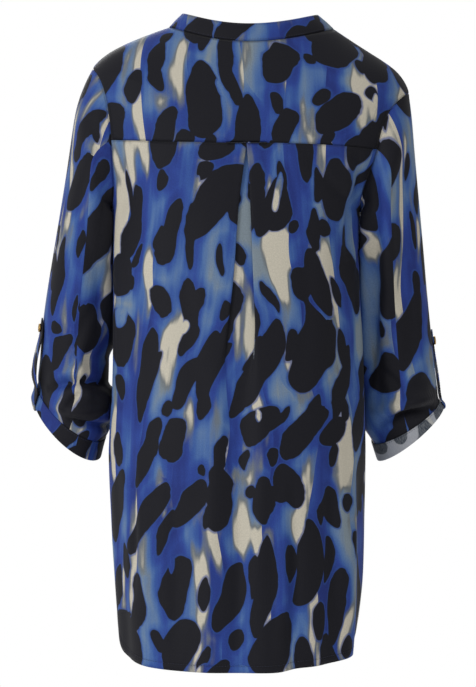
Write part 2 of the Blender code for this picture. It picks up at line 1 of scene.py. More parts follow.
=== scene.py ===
# %% [markdown]
# # A long tunic blouse, seen from behind
# The blouse is a hollow garment: a dozen flat pieces of printed viscose sewn into one tube for the
# body and two for the arms. The frame holds those pieces as plain solids of the right size. This
# script dresses them. Each cloth piece becomes a thin, smooth shell with folds, seams and
# stitches, and the print is worked out by nodes, so that nothing is painted or loaded.

# %% Load the frame and keep its box
import math
from functools import partial

import bmesh
import bpy
import numpy as np
from mathutils import Matrix, Vector, noise
from mathutils.bvhtree import BVHTree
from mathutils.kdtree import KDTree


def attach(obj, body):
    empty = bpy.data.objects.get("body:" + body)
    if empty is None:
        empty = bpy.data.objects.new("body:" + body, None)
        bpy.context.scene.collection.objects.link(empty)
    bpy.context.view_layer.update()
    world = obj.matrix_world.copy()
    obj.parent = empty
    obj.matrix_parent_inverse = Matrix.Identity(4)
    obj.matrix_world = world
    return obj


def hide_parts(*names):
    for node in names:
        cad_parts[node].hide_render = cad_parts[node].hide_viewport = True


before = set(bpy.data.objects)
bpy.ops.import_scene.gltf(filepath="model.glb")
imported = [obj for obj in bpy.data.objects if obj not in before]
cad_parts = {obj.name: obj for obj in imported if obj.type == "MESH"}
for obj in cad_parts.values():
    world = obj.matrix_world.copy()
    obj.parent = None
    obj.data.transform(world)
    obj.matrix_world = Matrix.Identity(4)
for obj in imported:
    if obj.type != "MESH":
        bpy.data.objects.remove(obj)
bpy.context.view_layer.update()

MM = 0.001
print("frame nodes:", ", ".join(sorted(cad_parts)))

# %% [markdown]
# ## The camera
# The picture is taken from behind, level with the middle of the blouse, and from far enough that
# the sleeves hardly shrink or grow. A long lens, about five times the height of the sensor, does
# that. Depth of field stays off, so that every stitch is sharp.

# %% Place the camera
SENSOR = 36.0
PICTURE_HEIGHT = 687
FOCAL_IN_PIXELS = 3600
CAMERA_PLACE = (0.0125, 4.5, -0.388)

view = bpy.data.cameras.new("camera_behind")
view.lens = FOCAL_IN_PIXELS / PICTURE_HEIGHT * SENSOR
view.sensor_width = SENSOR
camera = bpy.data.objects.new("camera_behind", view)
camera.location = CAMERA_PLACE
camera.rotation_euler = (math.radians(90), 0, math.radians(180))
bpy.context.scene.collection.objects.link(camera)
bpy.context.scene.camera = camera
bpy.context.scene.view_settings.view_transform = "Standard"
print(f"lens {view.lens:.0f} mm, {CAMERA_PLACE[1]:.1f} m behind the blouse")

# %% [markdown]
# ## From a solid to a sheet
# A solid wall has an outer face, an inner face and a narrow rim between them. Cloth is drawn
# better as one sheet that gets its thickness at the end. Walking from face to face, but never
# over an edge that turns as sharply as the rim does, picks out the outer face alone. Where a
# little of the rim slips through, its faces are long and hardly wider than the wall is thick, so
# they peel off the border. Joining the triangles back into quads gives an even grid.

# %% Take the outer face of a node
RIM_TURN = math.radians(70)
WALL = 1.5 * MM
LONG_SIDE = 4 * MM
SAME_PLACE = 0.01 * MM
FACING = 0.8


def rim_slivers(shape):
    """Faces whose long border edge has hardly any cloth behind it."""
    found = []
    for edge in shape.edges:
        if edge.is_boundary and edge.calc_length() > LONG_SIDE:
            face = edge.link_faces[0]
            if 2 * face.calc_area() / edge.calc_length() < WALL:
                found.append(face)
    return list(set(found))


def outer_face(node, toward):
    """The node's outer wall as a bmesh, found from the face that lies farthest one way."""
    shape = bmesh.new()
    shape.from_mesh(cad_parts[node].data)
    bmesh.ops.remove_doubles(shape, verts=shape.verts, dist=SAME_PLACE)
    shape.normal_update()
    way = Vector(toward)
    facing = [face for face in shape.faces if face.normal.dot(way) > FACING]
    seed = max(facing, key=lambda face: face.calc_center_median().dot(way))
    kept, front = {seed}, [seed]
    while front:
        for edge in front.pop().edges:
            if len(edge.link_faces) == 2 and edge.calc_face_angle() < RIM_TURN:
                for face in edge.link_faces:
                    if face not in kept:
                        kept.add(face)
                        front.append(face)
    spare = [face for face in shape.faces if face not in kept]
    bmesh.ops.delete(shape, geom=spare, context="FACES")
    while slivers := rim_slivers(shape):
        bmesh.ops.delete(shape, geom=slivers, context="FACES")
    bmesh.ops.join_triangles(
        shape, faces=shape.faces, angle_face_threshold=math.radians(70),
        angle_shape_threshold=math.radians(90), topology_influence=1.3,
    )
    return shape


# %% [markdown]
# ## The cut of each piece
# Cloth is printed flat and then cut, so the print has to lie on the flat cut and not on the
# worn shape. Unwrapping does what a pattern maker does in reverse: it rolls the worn piece out
# flat. A sleeve is a tube, so it is first slit along its seam. The flat shape is then scaled to
# real metres and turned until the grain, the direction of the long threads, runs up the piece.

# %% Cut a tube open
LOW_PART = 0.35


def cut_tube(shape):
    """Marks a seam up a tube, from the rearmost point of its lowest edge, straight across."""
    low = min(vert.co.z for vert in shape.verts if vert.is_boundary)
    span = max(vert.co.z for vert in shape.verts) - low
    hem = [vert for vert in shape.verts if vert.is_boundary and vert.co.z < low + LOW_PART * span]
    here = max(hem, key=lambda vert: vert.co.y)
    edge = next(edge for edge in here.link_edges if not edge.is_boundary)
    while edge:
        edge.seam = True
        here = edge.other_vert(here)
        ahead = [
            other for other in here.link_edges
            if other is not edge and not set(other.link_faces) & set(edge.link_faces)
        ]
        edge = ahead[0] if ahead and not here.is_boundary else None


# %% [markdown]
# Unwrapping keeps the shape but not the size: it fills a square. The flat piece is scaled until
# its area is that of the worn one. The height of the worn cloth rises along the grain, so a plane
# fitted to the heights over the flat piece says which way the grain runs.

# %% Lay a piece flat
def lay_flat(piece, shift):
    """Unwraps a piece into real metres with the grain upward, and returns its flat size and area."""
    bpy.context.view_layer.objects.active = piece
    piece.select_set(True)
    bpy.ops.object.mode_set(mode="EDIT")
    bpy.ops.mesh.select_all(action="SELECT")
    bpy.ops.uv.unwrap(method="ANGLE_BASED", margin=0.0)
    bpy.ops.object.mode_set(mode="OBJECT")
    piece.select_set(False)
    mesh = piece.data
    cut = mesh.uv_layers.active
    cut.name = "cut"
    flat = np.empty(len(mesh.loops) * 2)
    cut.data.foreach_get("uv", flat)
    flat = flat.reshape(-1, 2)
    corner = np.array([mesh.vertices[loop.vertex_index].co for loop in mesh.loops])
    flat_area = 0.0
    for face in mesh.polygons:
        x, y = flat[face.loop_start:face.loop_start + face.loop_total].T
        flat_area += 0.5 * (np.dot(x, np.roll(y, -1)) - np.dot(y, np.roll(x, -1)))
    area = sum(face.area for face in mesh.polygons)
    if flat_area < 0:
        flat[:, 0] *= -1
    flat *= math.sqrt(area / abs(flat_area))
    known = np.column_stack([flat, np.ones(len(flat))])
    (rise_u, rise_v, _), *_ = np.linalg.lstsq(known, corner[:, 2], rcond=None)
    length = math.hypot(rise_u, rise_v)
    turn = np.array([[rise_v, -rise_u], [rise_u, rise_v]]) / length
    flat = flat @ turn.T
    flat -= flat.min(axis=0)
    size = flat.max(axis=0)
    cut.data.foreach_set("uv", (flat + np.array(shift)).ravel())
    return size, area


def straight_band(area, border, tube):
    """Width and length of a narrow band, worked out from its area and its border."""
    if tube:
        return border / 2, area / (border / 2)
    half = border / 2
    height = (half - math.sqrt(half * half - 4 * area)) / 2
    return half - height, height


# %% [markdown]
# ## Folds
# Smooth viscose falls in long soft folds, and it creases where an arm bends or a roll of cloth
# is caught. Each fold here is one row of a table in millimetres: where it starts and ends as
# seen from behind or from the front, how wide it is and how deep. Its line is dropped onto the
# piece, and each point near the line moves in or out, least at the fold's two ends. A little
# noise at a hand's width keeps the cloth between the folds from looking like tin.

# %% Push folds into a sheet
POINTS_PER_WIDTH = 2.5
FEWEST_POINTS = 8
VIEWED_FROM = 1.0


def table(header, *rows):
    """Rows under named columns."""
    return [dict(zip(header.split(), row)) for row in rows]


def fold_line(fold, tree, side):
    """Points of a fold on the cloth, with its strength at each; side is +1 seen from behind."""
    start, end = Vector((fold["x0"], fold["z0"])), Vector((fold["x1"], fold["z1"]))
    across = Vector((end.y - start.y, start.x - end.x)).normalized()
    count = max(FEWEST_POINTS, int(POINTS_PER_WIDTH * (end - start).length / fold["width"]))
    found = []
    for k in range(count + 1):
        share = k / count
        flat = start.lerp(end, share) + across * (fold.get("bow", 0) * math.sin(math.pi * share))
        origin = Vector((flat.x * MM, VIEWED_FROM * side, flat.y * MM))
        hit = tree.ray_cast(origin, Vector((0, -side, 0)))[0]
        if hit:
            # The sine is cut a little short, so that a fold fades at its ends but not to nothing.
            found.append((hit, math.sin(math.pi * (0.06 + 0.88 * share)) ** 0.7))
    return found


def fold_moves(points, tree, folds, side):
    """How far the folds move each point along its normal."""
    moves = np.zeros(len(points))
    for fold in folds:
        line = fold_line(fold, tree, side)
        if not line:
            continue
        strongest = np.zeros(len(points))
        for hit, strength in line:
            away = np.linalg.norm(points - np.array(hit), axis=1) / (fold["width"] * MM)
            strongest = np.maximum(strongest, strength * np.exp(-away ** 2))
        moves += fold["depth"] * MM * strongest
    return moves


UNDULATION = 1.1 * MM
DRAPE_SIZE = Vector((0.075, 0.090, 0.230))


def undulation(points):
    """Shallow waves, several times as long down the cloth as across it."""
    return np.array([
        noise.noise(Vector([p[k] / DRAPE_SIZE[k] for k in range(3)])) for p in points
    ]) * UNDULATION


# %% [markdown]
# ## Where the edges are
# A seam is a shallow valley, because the cloth bends in where it is sewn. A hem is a narrow band
# turned under twice, so it stands a little proud and ends in a stitched groove. A border edge is
# sewn if another panel lies right beside it, and is otherwise a hem or a free edge. Each point
# stores how far it is from the nearest of either kind, and the finish turns these distances into
# relief.

# %% Tell seams from open edges
PANELS = ("back", "back_yoke", "front", "collar", "sleeve_left", "sleeve_right")
SEWN_WITHIN = 2.6 * MM
FAR = 200 * MM
STEPS_PER_EDGE = 6


def tree_of(mesh):
    """A mesh as a tree that finds the nearest point quickly."""
    places = [vert.co for vert in mesh.vertices]
    return BVHTree.FromPolygons(places, [list(face.vertices) for face in mesh.polygons])


PANEL_TREES = {name: tree_of(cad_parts[name].data) for name in PANELS}


def sort_border(shape, name):
    """A piece's border edges in two lists: sewn to another panel, and open."""
    sewn, loose = [], []
    others = [tree for panel, tree in PANEL_TREES.items() if panel != name and name in PANELS]
    for edge in shape.edges:
        if edge.is_boundary:
            middle = (edge.verts[0].co + edge.verts[1].co) / 2
            near = any(tree.find_nearest(middle, SEWN_WITHIN)[0] for tree in others)
            (sewn if near else loose).append(edge)
    return sewn, loose


def distances(mesh, pairs):
    """Each vertex's distance to the nearest of some lines, in metres."""
    places = [a.lerp(b, k / STEPS_PER_EDGE) for a, b in pairs for k in range(STEPS_PER_EDGE)]
    tree = KDTree(len(places))
    for index, place in enumerate(places):
        tree.insert(place, index)
    tree.balance()
    return np.array([min(FAR, tree.find(vert.co)[2]) if places else FAR for vert in mesh.vertices])


def store_distance(mesh, name, pairs):
    """Keeps those distances as an attribute that the finish can read."""
    values = distances(mesh, pairs)
    mesh.attributes.new(name, "FLOAT", "POINT").data.foreach_set("value", values)
    return values


# %% [markdown]
# ### Stitch lines
# A machine sews at a steady distance from an edge, so a stitch line is where that distance
# passes one value. Each face that it passes gives a short piece of the line, and walking from
# face to face joins them up.

# %% Find lines at a distance from the edge
SHORTEST_LINE = 8


def level_lines(mesh, values, level):
    """Lines on a mesh where a value passes a level, as lists of (place, normal)."""
    crossings, links = {}, {}
    for face in mesh.polygons:
        ends = []
        for a, b in face.edge_keys:
            if (values[a] - level) * (values[b] - level) < 0:
                share = (level - values[a]) / (values[b] - values[a])
                first, second = mesh.vertices[a], mesh.vertices[b]
                place = first.co.lerp(second.co, share)
                crossings[a, b] = place, first.normal.lerp(second.normal, share)
                ends.append((a, b))
        if len(ends) == 2:
            for here, there in (ends, ends[::-1]):
                links.setdefault(here, []).append(there)
    lines = []
    while links:
        here = next((key for key, near in links.items() if len(near) == 1), next(iter(links)))
        line = []
        while here:
            line.append(crossings[here])
            here = next((key for key in links.pop(here) if key in links), None)
        lines.append(line)
    return [line for line in lines if len(line) > SHORTEST_LINE]


# %% [markdown]
# ### Seam allowance
# Two pieces that only met edge to edge would let light through between them. Real seams don't,
# because a strip of each piece is turned inward. Extruding the sewn edges straight into the
# garment gives that strip. The yoke's is wider, because the pleat below it lies deep, and the
# sleeves' are also tucked sideways, under the edge of the body.

# %% Turn the seam allowance inward
ALLOWANCE = 5 * MM
YOKE_ALLOWANCE = 16 * MM
SIDEWAYS_TUCK = {"sleeve_left": -8 * MM, "sleeve_right": 8 * MM}


def turn_in(mesh, name):
    """Extrudes a piece's sewn edges inward."""
    tuck = Vector((SIDEWAYS_TUCK.get(name, 0), 0, 0))
    depth = YOKE_ALLOWANCE if name == "back_yoke" else ALLOWANCE
    shape = bmesh.new()
    shape.from_mesh(mesh)
    shape.normal_update()
    sewn, _ = sort_border(shape, name)
    if sewn:
        normal_at = {vert.co.to_tuple(6): vert.normal.copy() for edge in sewn for vert in edge.verts}
        strip = bmesh.ops.extrude_edge_only(shape, edges=sewn)["geom"]
        for vert in (item for item in strip if isinstance(item, bmesh.types.BMVert)):
            vert.co += tuck - normal_at[vert.co.to_tuple(6)] * depth
        shape.to_mesh(mesh)
    shape.free()


# %% [markdown]
# ## Colours and nodes
# Hex colours are written as a screen shows them. Blender works in linear light, so one function
# turns them. A second one adds any shader node, with its settings and links, in one line, and
# gives back the output that the next node needs. So a chain of nodes reads like a sum. Many nodes
# have sockets that only count in another mode; those are switched off, and are passed over. Each
# new material comes with an add of its own, which already knows the tree that it adds to.

# %% Small helpers for finishes
def linear(hex_colour):
    """An sRGB hex colour as linear RGBA."""
    parts = [int(hex_colour[k:k + 2], 16) / 255 for k in (1, 3, 5)]
    return (*[p / 12.92 if p <= 0.04045 else ((p + 0.055) / 1.055) ** 2.4 for p in parts], 1.0)


def add_node(tree, kind, *values, out="", stops=(), **named):
    """Adds a node with its settings and links, and gives back its first output, or the one named.

    Values fill the node's sockets in order. A name with a capital is a socket's, with _ for a
    space, and any other name is a setting's. A value that is itself a socket is linked. Stops are
    the places and hex colours of a colour ramp.
    """
    node = tree.nodes.new("ShaderNode" + kind)
    for name, value in named.items():
        if name[0].islower():
            setattr(node, name, value)
    for index, (place, colour) in enumerate(stops):
        elements = node.color_ramp.elements
        element = elements[index] if index < 2 else elements.new(place)
        element.position = place
        element.color = linear(colour)
    given = list(zip([socket for socket in node.inputs if socket.enabled], values))
    given += [(node.inputs[name.replace("_", " ")], named[name]) for name in named if name[0].isupper()]
    for socket, value in given:
        if isinstance(value, bpy.types.NodeSocket):
            tree.links.new(value, socket)
        else:
            socket.default_value = value
    return next(socket for socket in node.outputs if socket.enabled and out in ("", socket.name))


def start_material(name, **values):
    """A new Principled material, with the function that adds nodes to it, and its shader."""
    material = bpy.data.materials.new(name)
    material.use_nodes = True
    tree = material.node_tree
    shader = tree.nodes["Principled BSDF"]
    for key, value in values.items():
        shader.inputs[key.replace("_", " ")].default_value = value
    return material, partial(add_node, tree), shader


def plug(shader, **outputs):
    """Links outputs to a shader's sockets of these names."""
    for key, output in outputs.items():
        shader.id_data.links.new(output, shader.inputs[key.replace("_", " ")])


# %% [markdown]
# ## Printed viscose
# Viscose is a smooth, dense, matte cloth with a faint glow at grazing light. The print is an
# animal pattern: near-black spots, longer than wide, that lean and run into each other, each
# with a thin brighter blue rim, over a ground of blurred vertical brush strokes in royal blue,
# steel blue and beige. The layout is this script's own. A layer of Voronoi cells gives each
# spot a centre and three random numbers, which set its width, length and lean. From these the
# distance to the spot's edge is worked out in metres, so the rim is equally wide all round.

# %% Spots with a known distance to their edge
SCATTER = 0.62
TURN_SPREAD = 0.7
LEAST_SIZE, SIZE_SPREAD = 0.6, 0.8
MERGE = 3 * MM


def warped(add, place, size, amount):
    """Places pushed about by noise of a given size, by up to an amount in metres."""
    wave = add("TexNoise", place, noise_dimensions="2D", Scale=1 / size, Detail=0.0, out="Color")
    push = add("VectorMath", wave, (2 * amount,) * 3, (-amount,) * 3, operation="MULTIPLY_ADD")
    return add("VectorMath", place, push, operation="ADD")


def spot_layer(add, place, cell, half, lean, start):
    """How far inside a spot's edge a place is, in metres; below zero is outside.

    Both the nearest and the second nearest centre count, so no spot is cut off at its cell's edge.
    """
    cells = add("Mapping", place, start, Scale=(1 / cell[0], 1 / cell[1], 1))
    inside = []
    for feature in ("F1", "F2"):
        found = add(
            "TexVoronoi", cells, voronoi_dimensions="2D", feature=feature, Scale=1.0, Randomness=SCATTER,
        ).node.outputs
        away = add("VectorMath", cells, found["Position"], operation="SUBTRACT")
        away = add("VectorMath", away, (*cell, 0), operation="MULTIPLY")
        chance = add("SeparateColor", found["Color"]).node.outputs
        angle = add("Math", chance[0], TURN_SPREAD, lean - TURN_SPREAD / 2, operation="MULTIPLY_ADD")
        away = add("VectorRotate", away, rotation_type="Z_AXIS", Angle=angle)
        per_half = []
        for size, number in zip(half, chance[1:]):
            drawn = add("Math", number, SIZE_SPREAD * size, LEAST_SIZE * size, operation="MULTIPLY_ADD")
            per_half.append(add("Math", 1.0, drawn, operation="DIVIDE"))
        per_half = add("CombineXYZ", *per_half, 0.0)
        # Reach is 1 on the spot's edge. Dividing by how steeply it grows turns it into metres.
        scaled = add("VectorMath", away, per_half, operation="MULTIPLY")
        reach = add("VectorMath", scaled, operation="LENGTH")
        steepness = add("VectorMath", scaled, per_half, operation="MULTIPLY")
        steepness = add("VectorMath", steepness, operation="LENGTH")
        steepness = add("Math", steepness, 1.0, operation="MAXIMUM")
        shortfall = add("Math", 1.0, reach, operation="SUBTRACT")
        shortfall = add("Math", shortfall, reach, operation="MULTIPLY")
        inside.append(add("Math", shortfall, steepness, operation="DIVIDE"))
    return add("Math", *inside, MERGE, operation="SMOOTH_MAX")


# %% [markdown]
# ### Three layers of spots
# Big spots come first, small ones in a second layer fill some of the gaps, and a third layer makes
# holes in a few. Smooth maximum lets spots that touch run into each other like wet ink. Noise
# bends all of them alike, so no outline is a plain ellipse.

# %% Lay out the spots
# Each layer has its cell, the half sizes of a middling spot, its lean and where its cells start.
BIG_SPOTS = ((56 * MM, 91 * MM), (18 * MM, 38 * MM), 0.20, (0.31, 0.12, 0))
SMALL_SPOTS = ((50 * MM, 70 * MM), (8.2 * MM, 17 * MM), 0.10, (7.13, 5.64, 0))
HOLES = ((150 * MM, 190 * MM), (6 * MM, 16 * MM), 0.05, (9.17, 7.35, 0))
# The noise that bends the outlines, as its size and how far it pushes: coarse, middling and fine.
BENDS = ((170 * MM, 30 * MM), (38 * MM, 7 * MM), (8 * MM, 0.8 * MM))


def spots(add, flat):
    """How far inside a near-black spot a place on the flat cut is, in metres."""
    loose = flat
    for size, amount in BENDS:
        loose = warped(add, loose, size, amount)
    big, small, hole = [spot_layer(add, loose, *layer) for layer in (BIG_SPOTS, SMALL_SPOTS, HOLES)]
    inside = add("Math", big, small, MERGE, operation="SMOOTH_MAX")
    outside_holes = add("Math", hole, -1.0, operation="MULTIPLY")
    return add("Math", inside, outside_holes, operation="MINIMUM")


# %% [markdown]
# ### The ground between the spots
# The brush strokes are noise stretched up the cloth, and a saw-tooth that jumps across it gives
# them their one sharp side. The same stroke places, moved to another part of the noise, say where
# the beige is, and grey lies all round it, because the blue and the beige run together. Three
# things push both noises up or down: the saw-tooth, how near a spot is, and the bristles' fine
# streaks. So the ground is a deeper blue round the spots.

# %% Lay out the ground
STROKE_WIDE, STROKE_LONG = 38 * MM, 150 * MM
STROKE_DRIFT = (120 * MM, 14 * MM)
STRIP = 58 * MM
STRIP_JUMP = 0.37
BRISTLE_WIDE, BRISTLE_LONG = 6 * MM, 130 * MM
NEAR_SPOT = (-16 * MM, -1 * MM)
PALE_SCALE, PALE_START = (1.15, 1.05, 1.0), (5.3, 1.7, 8.1)
TOOTH_SHARES, NEAR_SHARES, BRISTLE_SHARES = (0.12, 0.13), (-0.08, -0.03), (0.10, 0.05)
BLUES = (
    (0.26, "#243374"), (0.39, "#2b4189"), (0.46, "#365493"),
    (0.52, "#4a689a"), (0.59, "#5f7798"), (0.67, "#78848d"),
)
PALES = (("#686d70", 0.518, 0.590), ("#bdb7a8", 0.574, 0.614))


def ground_colour(add, flat, inside):
    """The colour of the brush strokes at a place on the flat cut."""
    drift = add("SeparateXYZ", warped(add, flat, *STROKE_DRIFT)).node.outputs
    strips = add("Math", drift["X"], 1 / STRIP, operation="MULTIPLY")
    strip = add("Math", strips, operation="FLOOR")
    tooth = add("Math", strips, operation="FRACT")
    tooth = add("Math", tooth, 0.5, operation="SUBTRACT")
    across = add("Math", drift["X"], 1 / STROKE_WIDE, operation="MULTIPLY")
    along = add("Math", drift["Y"], 1 / STROKE_LONG, operation="MULTIPLY")
    jump = add("Math", strip, STRIP_JUMP, operation="MULTIPLY")
    place = add("CombineXYZ", across, along, jump)
    bristle = add("VectorMath", flat, (1 / BRISTLE_WIDE, 1 / BRISTLE_LONG, 1), operation="MULTIPLY")
    bristle = add("TexNoise", bristle, noise_dimensions="2D", Scale=1.0, Detail=1.0)
    bristle = add("Math", bristle, 0.5, operation="SUBTRACT")
    near = add("MapRange", inside, *NEAR_SPOT, interpolation_type="SMOOTHSTEP")
    tone = add("TexNoise", place, Scale=1.0, Detail=1.5, Roughness=0.5)
    pale = add("VectorMath", place, PALE_SCALE, PALE_START, operation="MULTIPLY_ADD")
    pale = add("TexNoise", pale, Scale=1.0, Detail=1.6, Roughness=0.5)
    pushes = ((tooth, TOOTH_SHARES), (near, NEAR_SHARES), (bristle, BRISTLE_SHARES))
    for part, (tone_share, pale_share) in pushes:
        tone = add("Math", part, tone_share, tone, operation="MULTIPLY_ADD")
        pale = add("Math", part, pale_share, pale, operation="MULTIPLY_ADD")
    ground = add("ValToRGB", tone, stops=BLUES)
    for colour, low, high in PALES:
        share = add("MapRange", pale, low, high, interpolation_type="SMOOTHSTEP")
        ground = add("Mix", share, ground, linear(colour), data_type="RGBA")
    return ground


# %% [markdown]
# ### Relief of seams, hems and weave
# The seams' valleys, the hem's stitched groove and the weave are shallower than a millimetre.
# Bump draws them well: it only tilts the light. The real threads are a third of a millimetre
# apart and would not show, so the weave is drawn coarser, as faint ribs 4.4 mm apart.

# %% Add the relief
SEAM_VALLEY, VALLEY_DEPTH = 2.2 * MM, 0.7 * MM
HEM_WIDTH, HEM_STEP, HEM_HEIGHT = 10 * MM, 0.8 * MM, 0.8 * MM
HEM_STITCHES = HEM_WIDTH - 1.5 * MM
GROOVE_WIDTH, GROOVE_DEPTH = 1.6 * MM, 0.6 * MM
RIB, WEAVE_DEPTH = 4.4 * MM, 0.05 * MM
# The length of one wave of the wave texture at a scale of 1.
WAVE = math.tau / 20


def cloth_relief(add, flat, strength=1.0):
    """The surface, bumped along seams, hems and threads."""
    seam = add("Attribute", attribute_name="seam", out="Fac")
    hem = add("Attribute", attribute_name="hem", out="Fac")
    off_groove = add("Math", hem, HEM_STITCHES, operation="SUBTRACT")
    off_groove = add("Math", off_groove, operation="ABSOLUTE")
    warp = add("TexWave", flat, bands_direction="X", Scale=WAVE / RIB, Distortion=0.0, out="Fac")
    weft = add("TexWave", flat, bands_direction="Y", Scale=WAVE / RIB, Distortion=0.0, out="Fac")
    height = add("Math", warp, weft, operation="MULTIPLY")
    height = add("Math", height, WEAVE_DEPTH * strength, operation="MULTIPLY")
    for value, low, high, at_low in (
        (seam, 0.0, SEAM_VALLEY, -VALLEY_DEPTH),
        (hem, HEM_WIDTH - HEM_STEP, HEM_WIDTH + HEM_STEP, HEM_HEIGHT),
        (off_groove, 0.0, GROOVE_WIDTH, -GROOVE_DEPTH),
    ):
        step = add("MapRange", value, low, high, at_low, 0.0, interpolation_type="SMOOTHSTEP")
        height = add("Math", height, step, operation="ADD")
    return add("Bump", Height=height, Strength=1.0, Distance=1.0)


# %% [markdown]
# ### Both sides of the cloth
# The right side is the print with its blue rims. Ink that is printed on one face only half
# reaches the other: there the spots are slate and the ground is a cool off-white, both flecked
# by the bare threads. That side shows inside the neck and on the right cuff, where the hem is
# turned outward. On both sides no two threads take the ink alike, so fine noise, as wide as four
# threads, makes the colour a little lighter or darker.

# %% Make both sides
SPOT_INK, RIM_INK = "#1a1a20", "#2a4585"
WRONG_SPOT, WRONG_GROUND, BARE_THREAD = "#3f4650", "#b2b4b5", "#c4c6c8"
FLECK_WIDE, FLECK_LONG = 1.3 * MM, 1.7 * MM
BARE_WIDE, BARE_LONG = 0.9 * MM, 6 * MM


def uneven_ink(add, colour, flat, amount):
    """A colour that is up to an amount lighter or darker from thread to thread."""
    fleck = add("VectorMath", flat, (1 / FLECK_WIDE, 1 / FLECK_LONG, 1), operation="MULTIPLY")
    fleck = add("TexNoise", fleck, noise_dimensions="2D", Scale=1.0, Detail=1.0)
    value = add("MapRange", fleck, 0.25, 0.75, 1 - amount, 1 + amount)
    return add("HueSaturation", Value=value, Color=colour)


def printed_cloth():
    """The right side: matte, with a soft glow at grazing light."""
    material, add, shader = start_material(
        "printed viscose twill, woven and screen printed",
        Roughness=0.60, Specular_IOR_Level=0.10, Sheen_Weight=0.03, Sheen_Roughness=0.45,
    )
    flat = add("UVMap", uv_map="cut")
    inside = spots(add, flat)
    ground = ground_colour(add, flat, inside)
    rim = add("MapRange", inside, -2.8 * MM, -0.8 * MM, 0.0, 0.7, interpolation_type="SMOOTHSTEP")
    colour = add("Mix", rim, ground, linear(RIM_INK), data_type="RGBA")
    spot = add("MapRange", inside, -0.4 * MM, 0.4 * MM, interpolation_type="SMOOTHSTEP")
    colour = add("Mix", spot, colour, linear(SPOT_INK), data_type="RGBA")
    plug(shader, Base_Color=uneven_ink(add, colour, flat, 0.09), Normal=cloth_relief(add, flat))
    return material


def wrong_side():
    """The wrong side: paler, rougher, and flecked along the warp."""
    material, add, shader = start_material(
        "wrong side of printed viscose", Roughness=0.78, Specular_IOR_Level=0.12, Sheen_Weight=0.03,
    )
    flat = add("UVMap", uv_map="cut")
    inside = spots(add, flat)
    ground = ground_colour(add, flat, inside)
    colour = add("Mix", 0.78, ground, linear(WRONG_GROUND), data_type="RGBA")
    spot = add("MapRange", inside, -1.0 * MM, 1.0 * MM, interpolation_type="SMOOTHSTEP")
    colour = add("Mix", spot, colour, linear(WRONG_SPOT), data_type="RGBA")
    bare = add("VectorMath", flat, (1 / BARE_WIDE, 1 / BARE_LONG, 1), operation="MULTIPLY")
    bare = add("TexNoise", bare, noise_dimensions="2D", Scale=1.0, Detail=1.0)
    bare = add("MapRange", bare, 0.35, 0.75, 0.0, 0.22, interpolation_type="SMOOTHSTEP")
    colour = add("Mix", bare, colour, linear(BARE_THREAD), data_type="RGBA")
    plug(shader, Base_Color=uneven_ink(add, colour, flat, 0.05), Normal=cloth_relief(add, flat, 2.0))
    return material


PRINT = printed_cloth()
WRONG = wrong_side()
print("finishes:", PRINT.name, "and", WRONG.name)

# %% [markdown]
# ## The folds, in millimetres
# Read across the table: where the fold starts and ends, left of the wearer being positive and
# the shoulders being zero, then its width and depth. A negative depth is a valley. The front is
# hidden here, so it has folds of the same kind as the back.

# %% List the folds
FOLD = "x0 z0 x1 z1 width depth bow"
BACK_FOLDS = table(
    FOLD,
    (-132, -140, -136, -300, 7, -4.5, 6),
    (-118, -150, -124, -260, 9, 2.4, 4),
    (-128, -215, -70, -150, 8, -2.7, 5),
    (150, -215, 118, -150, 8, -2.4, 4),
    (161, -120, 158, -250, 8, -2.7, 3),
    (152, -300, 138, -470, 9, -3.0, 5),
    (165, -330, 160, -440, 7, 2.1, 3),
    (150, -480, 142, -700, 8, -3.9, 4),
    (128, -520, 120, -740, 9, 2.7, -4),
    (96, -560, 90, -760, 10, -2.7, 5),
    (-55, -560, -52, -760, 7, -3.9, 3),
    (-42, -590, -40, -765, 8, 3.3, 3),
    (-104, -500, -110, -740, 9, -3.6, -5),
    (-124, -470, -128, -720, 8, 3.0, 4),
    (-134, -330, -128, -450, 8, -3.0, 4),
    (-70, -250, -62, -420, 14, -2.1, 6),
    (74, -240, 66, -430, 15, -2.1, -6),
    (40, -430, 44, -640, 13, 2.1, 5),
    (-14, -470, -10, -690, 12, 2.2, 4),
    (12, -500, 14, -770, 9, -3.0, 2),
)
FRONT_FOLDS = table(
    FOLD,
    (-120, -215, -84, -140, 9, -3.1, 5),
    (126, -215, 88, -140, 9, -3.1, -5),
    (-96, -240, -78, -470, 13, -3.4, 6),
    (92, -250, 82, -520, 13, -3.4, -6),
    (-46, -260, -52, -560, 14, -2.2, 5),
    (38, -280, 46, -600, 14, -2.5, -5),
    (-108, -480, -116, -750, 9, -3.6, 5),
    (-70, -540, -74, -755, 10, 3.1, -4),
    (-20, -520, -24, -770, 11, -3.1, 4),
    (28, -560, 32, -765, 10, 2.8, 4),
    (78, -520, 86, -750, 10, -3.6, 5),
    (120, -480, 128, -740, 9, -3.4, -4),
    (8, -235, 4, -420, 10, -2.5, 3),
)
LEFT_ARM_FOLDS = table(
    FOLD,
    (196, -102, 186, -200, 8, -1.6, 4),
    (188, -150, 214, -240, 8, -1.6, -5),
    (212, -220, 192, -330, 9, -2.0, 5),
    (222, -280, 240, -400, 8, -1.8, 5),
    (186, -330, 224, -420, 7, -2.2, -5),
    (250, -444, 176, -440, 5, -11.0, 6),
    (246, -430, 182, -426, 7, 4.0, 6),
    (244, -464, 178, -466, 9, 9.0, -6),
    (222, -484, 172, -490, 4.5, -11.0, -3),
    (226, -470, 204, -450, 4.5, -6.0, 3),
)
